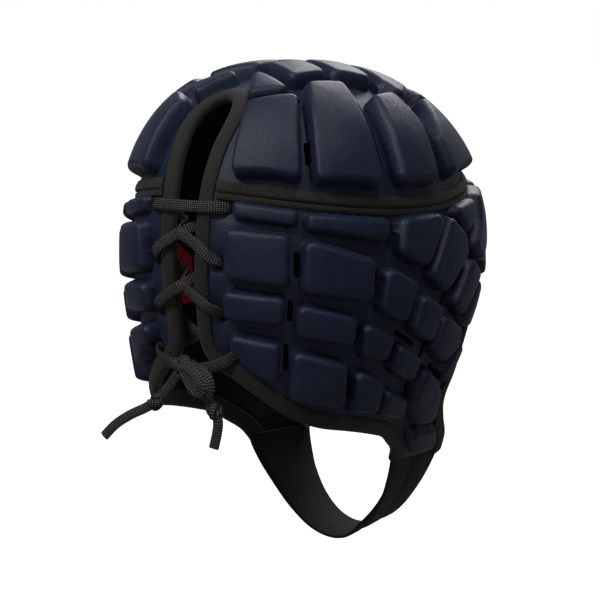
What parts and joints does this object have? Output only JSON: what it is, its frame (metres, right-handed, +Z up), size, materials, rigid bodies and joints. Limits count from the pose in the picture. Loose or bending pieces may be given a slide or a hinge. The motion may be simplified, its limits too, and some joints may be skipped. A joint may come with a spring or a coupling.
{
  "type": "scrum cap",
  "caption": "Padded rugby scrum cap with moulded foam pads, vents, taped edges, a laced back slit and a chin strap.",
  "frame": {"origin": "inside of the crown where the top of the head touches it, on the middle plane", "axes": "+Z up, the face looks along -Y, and the wearer's left is +X; the back slit is on the +Y side"},
  "size_m": [0.1822, 0.2188, 0.2687],
  "materials": {
    "navy_cloth": "smooth knitted face bonded to moulded foam, soft sheen",
    "black_tape": "ribbed woven tape, matt",
    "black_strap": "soft brushed strap, matt",
    "black_lace": "flat braid with pale flecks",
    "red_cloth": "plain woven cloth, matt"
  },
  "bodies": {
    "root": {"side_panel_right": "navy_cloth", "neck_binding_right": "black_tape", "side_panel_left": "navy_cloth", "neck_binding_left": "black_tape", "crown_panel": "navy_cloth", "seam_tape": "black_tape", "slit_binding": "black_tape", "face_binding": "black_tape", "inner_label": "red_cloth", "chin_strap_left": "black_strap", "chin_strap_right": "black_strap", "lace": "black_lace", "lace_knot": "black_lace", "lace_loop": "black_lace", "lace_end_right": "black_lace", "lace_stop_right": "black_lace", "lace_end_left": "black_lace", "lace_stop_left": "black_lace"}
  },
  "joints": []
}
